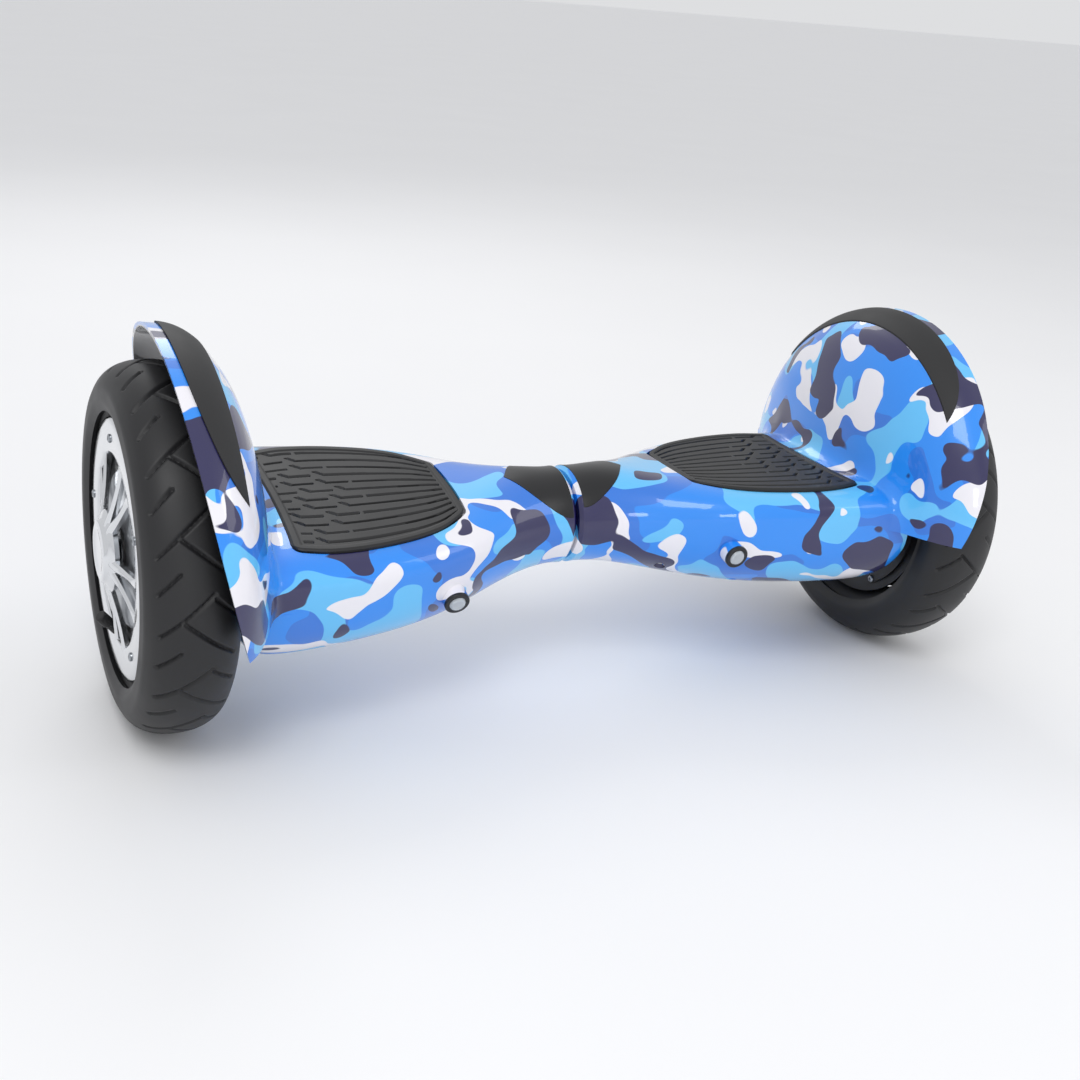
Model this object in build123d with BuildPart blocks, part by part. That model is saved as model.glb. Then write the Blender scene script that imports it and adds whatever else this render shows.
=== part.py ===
from build123d import *
import os
from math import cos, sin, radians, sqrt

os.makedirs("parts", exist_ok=True)

# A self balancing board: two halves that twist about one tube, a hub motor wheel at each end.
# X runs along the axles (right wheel at +X), -Y is the front, Z is up, the ground is Z = 0.
# Every piece of a half is drawn once, on the right, and mirrored to the left.

# ---------------------------------------------------------------- driving dimensions
tyre_radius = 127.0
tyre_half_width = 31.0
track_half = 304.5            # board centre to the middle of a wheel
axle_height = tyre_radius
rest_twist = 11.0             # the left half lies this many degrees front down
half_gap = 1.5                # each half stops this far from the centre plane

shell_wall = 2.6
fender_wall = 3.0
body_end = 262.0              # outer end wall of the body
deck_height = 31.5            # deck above the axle
waist_radius = 37.0
waist_bore = 27.0

pad_inner_x = 95.0
pad_outer_x = 230.0
pad_thickness = 4.0
pad_proud = 0.6
pad_travel = 1.5
pad_gap = 0.4                 # pad edge to its pocket
post_radius = 3.2
post_spread = 35.0
post_x = 165.0

tube_radius = 16.0
tube_bore = 12.5
barrel_radius = 24.0
barrel_start = 6.0
barrel_end = 58.0
bush_wall = 2.5
tube_relief = 9.0             # clear length past the barrel for the tube end and its clip

axle_radius = 8.0
plate_top = 21.0              # frame plate above the axle
plate_thickness = 6.0
channel_half = 50.0
channel_wall = 4.0
channel_foot = 27.0           # bottom of the frame walls below the axle

running_fit = 0.05            # radial, shaft in a bore that turns
press_fit = 0.02              # radial, shaft held in its bore
part_gap = 0.15               # around a piece let into a shell
air_gap = 0.6                 # stator to magnets

axle_line = Axis((0, 0, axle_height), (1, 0, 0))


# ---------------------------------------------------------------- helpers
def save(name, piece):
    piece.label = name
    export_step(piece, f"parts/{name}.step")


def left_of(piece):
    """The left copy of a right piece, pitched by the rest twist."""
    return mirror(piece, about=Plane.YZ).rotate(axle_line, rest_twist)


def save_pair(name, piece):
    save(f"{name}_r", piece)
    save(f"{name}_l", left_of(piece))


def across(x):
    """A plane square to the axle line at x: local X is +Y, local Y is +Z."""
    return Plane(origin=(x, 0, axle_height), x_dir=(0, 1, 0), z_dir=(1, 0, 0))


def disc(x_from, x_to, radius):
    """A cylinder on the axle line, as a loose solid."""
    with BuildPart() as cylinder:
        with BuildSketch(across(x_from)):
            Circle(radius)
        extrude(amount=x_to - x_from)
    return cylinder.part


def ring(x_from, x_to, outer, inner):
    """A ring on the axle line, as a loose solid."""
    with BuildPart() as hoop:
        with BuildSketch(across(x_from)):
            Circle(outer)
            Circle(inner, mode=Mode.SUBTRACT)
        extrude(amount=x_to - x_from)
    return hoop.part


# ---------------------------------------------------------------- body outline
# Stations along a half: x, half depth, height above the axle, squareness, dome radius.
# The dome radius is zero where there is no fender over the deck.
upper_stations = [
    (4.0, waist_radius, waist_radius, 2.0, 0),
    (25.0, 38.5, waist_radius, 2.05, 0),
    (50.0, 46.0, 36.0, 2.3, 0),
    (75.0, 57.5, 33.5, 2.9, 0),
    (100.0, 70.0, 32.0, 3.8, 0),
    (140.0, 83.0, deck_height, 4.8, 0),
    (185.0, 90.5, deck_height, 5.0, 0),
    (226.0, 94.0, deck_height, 5.0, 0),
    (238.0, 94.6, deck_height, 5.0, 34),
    (244.0, 95.0, deck_height, 5.0, 64),
    (251.0, 95.4, deck_height, 5.0, 94),
    (259.0, 96.0, deck_height, 5.0, 117),
    (267.0, 96.0, deck_height, 5.0, 131),
    (277.0, 96.0, deck_height, 5.0, 142),
    (291.0, 96.0, deck_height, 5.0, 149.5),
    (310.0, 96.0, deck_height, 5.0, 152),
]
# The same below the axle, without a dome; the last rows round off the outer end.
lower_stations = [
    (4.0, waist_radius, waist_radius, 2.0),
    (25.0, 38.5, 37.5, 2.05),
    (50.0, 46.0, 41.0, 2.2),
    (75.0, 57.5, 46.0, 2.3),
    (100.0, 70.0, 50.5, 2.4),
    (140.0, 83.0, 55.5, 2.6),
    (185.0, 90.5, 58.0, 2.8),
    (230.0, 94.2, 58.0, 3.0),
    (246.0, 95.2, 56.0, 3.0),
    (255.0, 95.6, 52.0, 3.0),
    (260.0, 95.8, 46.0, 3.0),
    (body_end, 96.0, 41.0, 3.0),
]
outline_points = 30
dome_softness = 26.0          # width over which the dome melts into the deck
ring_bevel = 2.5


def superellipse(angle, half_depth, height, squareness):
    """Distance from the axle line to a squared oval, at an angle from the seam."""
    flat = abs(cos(angle)) / half_depth
    tall = abs(sin(angle)) / height
    return (flat ** squareness + tall ** squareness) ** (-1 / squareness)


def soft_max(a, b, softness):
    """The larger of two lengths, rounded where they are close."""
    overlap = max(softness - abs(a - b), 0)
    return max(a, b) + overlap ** 2 / (4 * softness)


def body_section(station, side, inset):
    """Half a cross section: a curve over or under the axle line, closed by the seam."""
    x, half_depth, height, squareness = station[:4]
    dome = station[4] if len(station) > 4 else 0
    points = []
    for step in range(outline_points + 1):
        angle = radians(180 * step / outline_points)
        radius = superellipse(angle, half_depth, height, squareness)
        if dome:
            radius = soft_max(radius, dome, dome_softness)
        radius -= inset
        points.append((-radius * cos(angle), side * radius * sin(angle)))
    with BuildSketch(across(x)) as section:
        with BuildLine():
            Spline(*points, tangents=[(0, side), (0, -side)])
            Line(points[-1], points[0])
        make_face()
    return section.sketch


def body_loft(stations, side, inset=0.0, shift=0.0):
    """The solid inside the outline, drawn in by inset and moved outward by shift."""
    with BuildPart() as body:
        for station in stations:
            x = station[0] + shift
            add(body_section((x,) + station[1:], side, inset))
        loft()
    return body.part


def waist_bevel(stations, side):
    """The short bevelled end of a half at the waist."""
    first = stations[0]
    with BuildPart() as end:
        add(body_section((half_gap,) + first[1:], side, ring_bevel))
        add(body_section(first, side, 0))
        loft(ruled=True)
    return end.part


def pad_outline(grow=0.0):
    """The foot pad seen from above, grown by an amount all round."""
    corner = 7.0
    inner_x = pad_inner_x - grow
    outer_x = pad_outer_x + grow
    side = [(inner_x, 36.0), (122.0, 56.5), (162.0, 69.0), (202.0, 72.5), (outer_x, 67.0)]
    slant = 1.1
    back_side = [(x, y + slant * grow) for x, y in side]
    front_side = [(x, -y) for x, y in back_side]
    with BuildSketch() as outline:
        with BuildLine():
            front = Spline(*front_side)
            back = Spline(*reversed(back_side))
            ThreePointArc(front @ 1, (outer_x - 3, 0), back @ 0)
            ThreePointArc(back @ 1, (inner_x - 2, 0), front @ 0)
        make_face()
        fillet(outline.vertices(), corner + grow)
    return outline.sketch


def prism(outline, low, high):
    """An outline seen from above, made solid between two heights above the axle."""
    with BuildPart() as block:
        with BuildSketch(Plane.XY.offset(axle_height + low)):
            add(outline)
        extrude(amount=high - low)
    return block.part


def both_sides(spot):
    """The places of one screw spot: one on the centre line, or one to each side."""
    x, y = spot[:2]
    if y:
        return [(x, y), (x, -y)]
    return [(x, y)]


def grip_of(spot):
    """Thread length in the frame; the lug under the barrel is the thinner one."""
    return screw_grip if spot[1] else screw_grip - 1


def posts(spots, radius, low, high):
    """Upright cylinders at a list of places, between two heights above the axle."""
    with BuildPart() as group:
        with BuildSketch(Plane.XY.offset(axle_height + low)):
            with Locations(*spots):
                Circle(radius)
        extrude(amount=high - low)
    return group.part


# ---------------------------------------------------------------- outer solids
outer_upper = body_loft(upper_stations, 1)
outer_lower = body_loft(lower_stations, -1)

body_upper = [row for row in upper_stations if row[0] < body_end]
inner_upper = body_loft(upper_stations, 1, fender_wall, fender_wall)
inner_body = body_loft([row[:4] for row in body_upper], 1, shell_wall)
inner_lower = body_loft(lower_stations[:-1], -1, shell_wall)

# The same outline drawn in or out a little, for pieces let into the shell.
let_in_depth = 1.3            # bumpers and waist panels sink this deep
bumper_proud = 1.2
panel_proud = 0.3
skin_seat = body_loft(upper_stations, 1, let_in_depth + part_gap)
skin_inside = body_loft(upper_stations, 1, let_in_depth)
skin_bumper = body_loft(upper_stations, 1, -bumper_proud)
skin_panel = body_loft(upper_stations, 1, -panel_proud)


# ---------------------------------------------------------------- fender bumper
bumper_x = 273.0              # tips of the crescent
bumper_hollow = 3.0           # inner edge at the crown, outward of the tips
bumper_width = 27.5
bumper_half_length = 105.0
bumper_fullness = 2.4         # 2 is an oval, more is squarer
bumper_points = 12


def crescent(grow=0.0):
    """Seen from above: a slightly hollow inner edge and half a squared oval bulging outward."""
    outer_side = []
    for step in range(bumper_points + 1):
        angle = radians(180 * step / bumper_points - 90)
        out = abs(cos(angle)) ** (2 / bumper_fullness)
        along = abs(sin(angle)) ** (2 / bumper_fullness)
        x = bumper_x - grow + (bumper_width + 2 * grow) * out
        y = (bumper_half_length + grow) * along
        if angle < 0:
            y = -y
        outer_side.append((x, y))
    with BuildSketch() as outline:
        with BuildLine():
            bulge = Spline(*outer_side)
            ThreePointArc(bulge @ 1, (bumper_x + bumper_hollow - grow, 0), bulge @ 0)
        make_face()
    return outline.sketch


bumper_low = 60.0
bumper_high = 160.0
with BuildPart() as fender_bumper:
    add(prism(crescent(), bumper_low, bumper_high))
    add(skin_bumper, mode=Mode.INTERSECT)
    add(skin_inside, mode=Mode.SUBTRACT)

# ---------------------------------------------------------------- waist panel
panel_start = 4.6
panel_tip = 51.0
panel_half = 33.0


def shield(grow=0.0):
    """Seen from above: wide at the waist, drawn to a point along the board, grown all round."""
    back_side = [
        (panel_start, panel_half + grow), (23 + grow / 4, 29.5 + grow), (36 + grow / 2, 22 + grow),
        (44.5 + grow, 11 + grow / 2), (panel_tip + grow, 0),
    ]
    front_side = [(x, -y) for x, y in back_side]
    with BuildSketch() as outline:
        with BuildLine():
            front = Spline(*front_side)
            back = Spline(*reversed(back_side))
            Line(back @ 1, front @ 0)
        make_face()
    return outline.sketch


with BuildPart() as centre_panel:
    add(prism(shield(), 10, 2 * waist_radius))
    add(skin_panel, mode=Mode.INTERSECT)
    add(skin_inside, mode=Mode.SUBTRACT)

# ---------------------------------------------------------------- upper shell
pocket_floor = deck_height + pad_proud - pad_thickness - pad_travel - 0.3
tray_wall = 2.4
standoff_spots = [(118.0, 30.0), (215.0, 38.0)]
standoff_places = [place for spot in standoff_spots for place in both_sides(spot)]
post_places = both_sides((post_x, post_spread))
standoff_radius = 5.0
deck_screw_radius = 1.75
fender_cut = [(276.5, -0.5), (297.5, 82.0), (309.0, 153.0)]
post_hole = 0.6
axle_notch = 1.0

with BuildPart() as fender_edge:
    with BuildSketch(Plane.XZ.offset(-2 * tyre_radius)):
        with BuildLine():
            edge = ThreePointArc(*[(x, axle_height + z) for x, z in fender_cut])
            Polyline(edge @ 1, (400, 300), (400, 100), edge @ 0)
        make_face()
    extrude(amount=4 * tyre_radius)

# The wheel well keeps clear of the body's end wall and of the deck.
with BuildPart() as wheel_well:
    add(inner_upper)
    with BuildSketch(Plane.XY.offset(axle_height - 1)):
        with Locations((body_end / 2, 0)):
            Rectangle(body_end, 4 * tyre_radius)
    extrude(amount=deck_height + 2, mode=Mode.SUBTRACT)

with BuildPart() as bumper_recess:
    add(prism(crescent(part_gap), bumper_low, bumper_high))
    add(skin_seat, mode=Mode.SUBTRACT)
with BuildPart() as panel_recess:
    add(prism(shield(part_gap), 10, 2 * waist_radius))
    add(skin_seat, mode=Mode.SUBTRACT)
# The hollow of the body, left solid under the pad and at the standoffs.
with BuildPart() as upper_hollow:
    add(inner_body)
    add(prism(pad_outline(pad_gap + tray_wall), pocket_floor - tray_wall, 2 * deck_height),
        mode=Mode.SUBTRACT)
    add(posts(standoff_places, standoff_radius, plate_top, pocket_floor), mode=Mode.SUBTRACT)

with BuildPart() as upper_shell:
    add(outer_upper)
    add(wheel_well.part, mode=Mode.SUBTRACT)
    add(upper_hollow.part, mode=Mode.SUBTRACT)
    add(prism(pad_outline(pad_gap), pocket_floor, 2 * deck_height), mode=Mode.SUBTRACT)
    add(waist_bevel(upper_stations, 1))
    add(disc(0, upper_stations[0][0] + 1, waist_bore), mode=Mode.SUBTRACT)
    add(posts(standoff_places, deck_screw_radius + press_fit, plate_top - 1, pocket_floor - 0.8),
        mode=Mode.SUBTRACT)
    add(posts(post_places, post_radius + post_hole, plate_top, pocket_floor + 1), mode=Mode.SUBTRACT)
    add(disc(body_end - 3 * shell_wall, body_end + 3 * shell_wall, axle_radius + axle_notch),
        mode=Mode.SUBTRACT)
    add(bumper_recess.part, mode=Mode.SUBTRACT)
    add(panel_recess.part, mode=Mode.SUBTRACT)
    add(fender_edge.part, mode=Mode.SUBTRACT)

save_pair("upper_shell", upper_shell.part)
save_pair("fender_bumper", fender_bumper.part)
save_pair("centre_panel", centre_panel.part)

# ---------------------------------------------------------------- screws and lugs
# Lower shell screws: x, distance to each side, head seat, bottom of the frame lug (above the axle).
shell_screw_spots = [
    (36.0, 0.0, -34.0, -30.0),
    (72.0, 40.0, -29.0, -22.0),
    (130.0, 54.0, -39.0, -channel_foot),
    (190.0, 54.0, -46.0, -channel_foot),
    (240.0, 54.0, -46.0, -channel_foot),
]
screw_radius = 1.75
screw_grip = 8.0
screw_head_radius = 3.4
screw_head_height = 2.4
head_recess_radius = 4.2
boss_radius = 5.5


# ---------------------------------------------------------------- frame
frame_front = [(8.0, 20.0), (50.0, 22.0), (70.0, 44.0), (120.0, 58.0), (251.0, 66.0)]
channel_start = 84.0
channel_end = 251.0
channel_inside = 2 * (channel_half - channel_wall)
saddle_start = 229.0
saddle_half = 26.0
clamp_depth = 13.0
clamp_screw_x = 7.0
clamp_screw_y = 17.0
clamp_screw_radius = 2.5
board_top = 2.6
board_thickness = 1.6
board_half_length = 44.0
board_width = 36.0
board_standoff_radius = 3.0
board_standoffs = [(post_x - 13, 40.0), (post_x + 13, 40.0)]
plate_bottom = plate_top - plate_thickness
saddle_mid = (saddle_start + channel_end) / 2
board_places = [place for spot in board_standoffs for place in both_sides(spot)]
clamp_places = [
    (saddle_mid + dx, dy)
    for dx in (-clamp_screw_x, clamp_screw_x)
    for dy in (-clamp_screw_y, clamp_screw_y)
]


def frame(bore):
    """The cast tray of one half: plate, channel walls, tube barrel, axle saddle and lugs."""
    with BuildPart() as tray:
        with BuildSketch(Plane.XY.offset(axle_height + plate_bottom)):
            with BuildLine():
                Polyline(*[(x, -y) for x, y in frame_front], *reversed(frame_front), close=True)
            make_face()
        extrude(amount=plate_thickness)
        with BuildSketch(Plane.XY.offset(axle_height - channel_foot)):
            with Locations(((channel_start + channel_end) / 2, 0)):
                Rectangle(channel_end - channel_start, 2 * channel_half)
                Rectangle(channel_end - channel_start, channel_inside, mode=Mode.SUBTRACT)
        extrude(amount=channel_foot + plate_bottom)
        with BuildSketch(Plane.XY.offset(axle_height)):
            with Locations((saddle_mid, 0)):
                Rectangle(channel_end - saddle_start, 2 * saddle_half)
        extrude(amount=plate_bottom)
        add(disc(barrel_start, barrel_end, barrel_radius))
        for spot in shell_screw_spots:
            high = plate_bottom if spot[1] else -tube_radius - bush_wall - 2
            add(posts(both_sides(spot), boss_radius - 0.5, spot[3], high))
        add(posts(board_places, board_standoff_radius, board_top, plate_bottom))
        for spot in shell_screw_spots:
            add(posts(both_sides(spot), screw_radius + press_fit, spot[3], spot[3] + grip_of(spot)),
                mode=Mode.SUBTRACT)
        add(posts(standoff_places, deck_screw_radius + press_fit, 0, plate_top), mode=Mode.SUBTRACT)
        add(posts(post_places, post_radius + 2 * post_hole, plate_bottom, plate_top), mode=Mode.SUBTRACT)
        add(posts(clamp_places, clamp_screw_radius + press_fit, 0, plate_bottom - 2), mode=Mode.SUBTRACT)
        add(disc(0, barrel_end, bore), mode=Mode.SUBTRACT)
        add(disc(barrel_end, barrel_end + tube_relief, tube_radius + bush_wall + 1), mode=Mode.SUBTRACT)
        add(disc(saddle_start, channel_end, axle_radius + press_fit), mode=Mode.SUBTRACT)
    return tray.part


save("frame_r", frame(tube_radius + press_fit))
save("frame_l", left_of(frame(tube_radius + bush_wall)))

# ---------------------------------------------------------------- deck, shell and clamp screws
deck_head = plate_bottom - screw_head_height
with BuildPart() as shell_screws:
    for spot in shell_screw_spots:
        add(posts(both_sides(spot), screw_radius, spot[2], spot[3] + grip_of(spot) - 0.2))
        add(posts(both_sides(spot), screw_head_radius, spot[2] - screw_head_height, spot[2]))
    add(posts(standoff_places, deck_screw_radius, plate_bottom, pocket_floor - tray_wall + 1))
    add(posts(standoff_places, screw_head_radius, deck_head, plate_bottom))
save_pair("shell_screws", shell_screws.part)

with BuildPart() as axle_clamp:
    with BuildSketch(Plane.XY.offset(axle_height - clamp_depth)):
        with Locations((saddle_mid, 0)):
            RectangleRounded(channel_end - saddle_start, 2 * saddle_half, 3)
    extrude(amount=clamp_depth)
    add(disc(saddle_start, channel_end, axle_radius + press_fit), mode=Mode.SUBTRACT)
    add(posts(clamp_places, clamp_screw_radius + press_fit, -clamp_depth, 0), mode=Mode.SUBTRACT)
save_pair("axle_clamp", axle_clamp.part)

with BuildPart() as clamp_screws:
    add(posts(clamp_places, clamp_screw_radius, -clamp_depth, plate_bottom - 3))
    add(posts(clamp_places, clamp_screw_radius + 2, -clamp_depth - 4, -clamp_depth))
save_pair("clamp_screws", clamp_screws.part)

# ---------------------------------------------------------------- lower shell
rib_spots = [132.0, 200.0]
rib_thickness = 3.0
battery_floor = -42.0
lamp_x = 113.0
lamp_front = -83.0            # Y of the lamp's front
lamp_height = -15.0           # lamp centre above the axle
lamp_tilt = 12.0
lamp_radius = 6.3
bezel_radius = 9.2
bezel_depth = 2.5
pod_length = 20.0
neck_radius = 7.4
neck_length = 9.0
lamp_plane = Plane(
    origin=(lamp_x, lamp_front, axle_height + lamp_height),
    x_dir=(1, 0, 0),
    z_dir=(0, -cos(radians(lamp_tilt)), -sin(radians(lamp_tilt))),
)


def on_lamp(low, high, radius):
    """A cylinder along the lamp, measured outward from its front plane."""
    with BuildPart() as stub:
        with BuildSketch(lamp_plane.offset(low)):
            Circle(radius)
        extrude(amount=high - low)
    return stub.part


# The hollow of the lower casing, left solid at the screw bosses and the battery ribs.
boss_depth = 2 * tyre_radius / 3
with BuildPart() as lower_hollow:
    add(inner_lower)
    for spot in shell_screw_spots:
        add(posts(both_sides(spot), boss_radius, -boss_depth, spot[3]), mode=Mode.SUBTRACT)
    with BuildSketch(Plane.XY.offset(axle_height - boss_depth)):
        for x in rib_spots:
            with Locations((x, 0)):
                Rectangle(rib_thickness, 2 * board_half_length - 8)
    extrude(amount=boss_depth + battery_floor, mode=Mode.SUBTRACT)


def lower_shell(pods=()):
    """The lower casing with its lamp pod and screw holes, and pods on the rear if asked."""
    with BuildPart() as casing:
        add(outer_lower)
        add(on_lamp(-bezel_depth - pod_length, -bezel_depth, bezel_radius))
        for x, face in pods:
            add(on_rear(x, face, -pod_back, 0, pod_radius))
        add(lower_hollow.part, mode=Mode.SUBTRACT)
        add(waist_bevel(lower_stations, -1))
        add(disc(0, lower_stations[0][0] + 1, waist_bore), mode=Mode.SUBTRACT)
        for spot in shell_screw_spots:
            add(posts(both_sides(spot), head_recess_radius, -tyre_radius, spot[2]), mode=Mode.SUBTRACT)
            add(posts(both_sides(spot), screw_radius + 0.25, spot[2], spot[3]), mode=Mode.SUBTRACT)
        add(on_lamp(-bezel_depth - neck_length - 0.5, 0, neck_radius + part_gap), mode=Mode.SUBTRACT)
        add(disc(body_end - 3 * shell_wall, body_end + shell_wall, axle_radius + axle_notch),
            mode=Mode.SUBTRACT)
        for x, face in pods:
            add(on_rear(x, face, -pod_back, 1, rear_bores[x]), mode=Mode.SUBTRACT)
    return casing.part


save("lower_shell_r", lower_shell())

with BuildPart() as led_bezel:
    add(on_lamp(-bezel_depth, 0, bezel_radius))
    fillet(led_bezel.faces().sort_by(Axis.Y)[0].edges(), 1.0)
    add(on_lamp(-bezel_depth - neck_length, -bezel_depth, neck_radius))
    add(on_lamp(-bezel_depth - neck_length, 1, lamp_radius), mode=Mode.SUBTRACT)
save_pair("led_bezel", led_bezel.part)

with BuildPart() as led_lens:
    add(on_lamp(-bezel_depth - neck_length, 1.5, lamp_radius - part_gap))
    fillet(led_lens.faces().sort_by(Axis.Y)[0].edges(), 2.5)
save_pair("led_lens", led_lens.part)

# ---------------------------------------------------------------- foot pad
pad_top = deck_height + pad_proud
post_end = 11.8

with BuildPart() as foot_pad:
    add(prism(pad_outline(), pad_top - pad_thickness, pad_top))
    fillet(foot_pad.faces().sort_by(Axis.Z)[-1].edges(), 0.8)
    add(posts(post_places, post_radius, post_end, pad_top - pad_thickness))
save_pair("foot_pad", foot_pad.part)

# ---------------------------------------------------------------- sensor board
sensor_size = (12.0, 8.0, 7.0)
slot_width = 4.5
with BuildPart() as sensor_board:
    with BuildSketch(Plane.XY.offset(axle_height + board_top - board_thickness)):
        with Locations((post_x, 0)):
            Rectangle(board_width, 2 * board_half_length)
    extrude(amount=board_thickness)
    with BuildSketch(Plane.XY.offset(axle_height + board_top)):
        with Locations((post_x, post_spread), (post_x, -post_spread)):
            Rectangle(sensor_size[0], sensor_size[1])
            Rectangle(slot_width, sensor_size[1], mode=Mode.SUBTRACT)
    extrude(amount=sensor_size[2])
save_pair("sensor_board", sensor_board.part)

# ---------------------------------------------------------------- wheel
rim_lip_radius = 86.5
rim_lip_half = 19.0
lip_thickness = 3.0
bead_radius = 81.0
bead_half = rim_lip_half - lip_thickness
well_radius = 78.0
well_half = 9.0
motor_bore = 72.6
rim_plate = 3.0
bearing_outer = 15.0
bearing_width = 8.0
bearing_bore = axle_radius + running_fit
bearing_boss = 19.0
outer_bearing = 17.0          # start of the outer bearing, from the wheel middle
magnet_thickness = 3.0
magnet_count = 30
stator_half = 10.0
tooth_count = 27
stack_radius = motor_bore - magnet_thickness - air_gap
hub_cover_bore = axle_radius + 0.6
cover_ring_outer = 84.0
cover_ring_inner = 66.0
cover_hub_radius = 24.0
cover_thickness = 2.6
cover_hub_out = 37.0          # outer face of the raised hub, from the wheel middle
spoke_pairs = 5
trim_face = rim_lip_half + cover_thickness
section_height = tyre_radius - bead_radius
tyre_squareness = 2.24
tyre_wall = 4.0


def wheel_profile(points):
    """A closed outline in (distance from the wheel middle, radius), turned round the axle."""
    with BuildPart() as turned:
        with BuildSketch(Plane(origin=(track_half, 0, axle_height), x_dir=(1, 0, 0), z_dir=(0, -1, 0))):
            with BuildLine():
                Polyline(*points, close=True)
            make_face()
        revolve(axis=axle_line)
    return turned.part


def at_wheel(x_from, x_to, outer, inner):
    return ring(track_half + x_from, track_half + x_to, outer, inner)


valve_base = (10.0, 84.5)     # distance from the wheel middle, distance below the axle
valve_tip = (31.0, 59.0)
valve_plane = Plane(
    origin=(track_half + valve_base[0], 0, axle_height - valve_base[1]),
    x_dir=(0, 1, 0),
    z_dir=(valve_tip[0] - valve_base[0], 0, valve_base[1] - valve_tip[1]),
)
valve_length = sqrt((valve_tip[0] - valve_base[0]) ** 2 + (valve_base[1] - valve_tip[1]) ** 2)
stem_radius = 3.2
stem_clearance = 0.4
cap_radius = 4.2
cap_length = 9.0


def along_valve(low, high, radius):
    with BuildPart() as stub:
        with BuildSketch(valve_plane.offset(low)):
            Circle(radius)
        extrude(amount=high - low)
    return stub.part


# Screws on the wheel: face they sit on, the way they point, circle, count, turn.
trim_screw_radius = 1.5
trim_head_radius = 2.8
trim_head_height = 1.8
trim_grip = 6.0
screw_circles = (
    (trim_face, 1, motor_bore + 3.4, spoke_pairs, 180 / spoke_pairs),
    (-rim_lip_half - rim_plate, -1, motor_bore + 4.4, 6, 0),
)
with BuildPart() as rim:
    add(wheel_profile([
        (-rim_lip_half, motor_bore), (-rim_lip_half, rim_lip_radius), (-bead_half, rim_lip_radius),
        (-bead_half, bead_radius), (-well_half, bead_radius), (-well_half, well_radius),
        (well_half, well_radius), (well_half, bead_radius), (bead_half, bead_radius),
        (bead_half, rim_lip_radius), (rim_lip_half, rim_lip_radius), (rim_lip_half, bearing_boss),
        (outer_bearing + bearing_width, bearing_boss), (outer_bearing + bearing_width, bearing_outer + press_fit),
        (outer_bearing, bearing_outer + press_fit), (outer_bearing, bearing_outer - 2),
        (rim_lip_half - rim_plate, bearing_outer - 2), (rim_lip_half - rim_plate, motor_bore),
    ]))
    add(along_valve(-1, valve_length, stem_radius + stem_clearance), mode=Mode.SUBTRACT)
    for face, step, circle, count, turn in screw_circles:
        with BuildSketch(across(track_half + face)):
            with PolarLocations(circle, count, start_angle=turn):
                Circle(trim_screw_radius + press_fit)
        extrude(amount=-step * trim_grip, mode=Mode.SUBTRACT)
save_pair("rim", rim.part)

with BuildPart() as magnets:
    add(at_wheel(-stator_half, stator_half, motor_bore, motor_bore - magnet_thickness))
    with BuildSketch(across(track_half - stator_half)):
        with PolarLocations(motor_bore, magnet_count):
            Rectangle(4 * magnet_thickness, 1.2)
    extrude(amount=2 * stator_half, mode=Mode.SUBTRACT)
save_pair("magnets", magnets.part)

tooth_root = 52.0
tooth_width = 4.5
tooth_tip = 3.0
coil_width = 8.4
coil_out = 4.0
with BuildPart() as stator:
    add(at_wheel(-stator_half, stator_half, stack_radius, stack_radius - tooth_tip))
    with BuildSketch(across(track_half - stator_half)):
        with PolarLocations(stack_radius, tooth_count, start_angle=180 / tooth_count):
            Rectangle(4 * tooth_tip, 3.0)
    extrude(amount=2 * stator_half, mode=Mode.SUBTRACT)
    with BuildSketch(across(track_half - stator_half)):
        with PolarLocations((tooth_root + stack_radius) / 2 - 1, tooth_count):
            Rectangle(stack_radius - tooth_root - 1, tooth_width)
        Circle(tooth_root)
        Circle(tooth_root - 6, mode=Mode.SUBTRACT)
        Circle(22)
        with PolarLocations(34, 6):
            Rectangle(28, 9)
        Circle(axle_radius + press_fit, mode=Mode.SUBTRACT)
    extrude(amount=2 * stator_half)
save_pair("stator", stator.part)

with BuildPart() as windings:
    with BuildSketch(across(track_half - stator_half - coil_out)):
        with PolarLocations((tooth_root + stack_radius - tooth_tip) / 2 + 0.5, tooth_count):
            Rectangle(stack_radius - tooth_tip - tooth_root - 2.5, coil_width)
    extrude(amount=2 * (stator_half + coil_out))
    with BuildSketch(across(track_half - stator_half)):
        with PolarLocations((tooth_root + stack_radius) / 2, tooth_count):
            Rectangle(stack_radius - tooth_root + 2, tooth_width)
    extrude(amount=2 * stator_half, mode=Mode.SUBTRACT)
save_pair("windings", windings.part)

inner_bearing = -26.0         # start of the inner bearing, from the wheel middle
hub_cover_radius = 80.0
cover_rebate = 2.5
with BuildPart() as hub_cover:
    add(wheel_profile([
        (inner_bearing - 1, hub_cover_bore), (inner_bearing - 1, bearing_boss),
        (-rim_lip_half - rim_plate, bearing_boss + 5), (-rim_lip_half - rim_plate, hub_cover_radius),
        (-rim_lip_half, hub_cover_radius), (-rim_lip_half, motor_bore - part_gap),
        (-rim_lip_half + cover_rebate, motor_bore - part_gap), (-rim_lip_half + cover_rebate, motor_bore - 3),
        (-rim_lip_half, motor_bore - 3), (-rim_lip_half, bearing_boss),
        (inner_bearing + bearing_width, bearing_boss), (inner_bearing + bearing_width, bearing_outer + press_fit),
        (inner_bearing, bearing_outer + press_fit), (inner_bearing, hub_cover_bore),
    ]))
    with BuildSketch(across(track_half - rim_lip_half - rim_plate)):
        with PolarLocations(motor_bore + 4.4, 6):
            Circle(1.6)
    extrude(amount=rim_plate, mode=Mode.SUBTRACT)
save_pair("hub_cover", hub_cover.part)

with BuildPart() as bearings:
    for start in (inner_bearing, outer_bearing):
        add(at_wheel(start, start + bearing_width, bearing_outer, bearing_bore))
save_pair("bearings", bearings.part)

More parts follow.
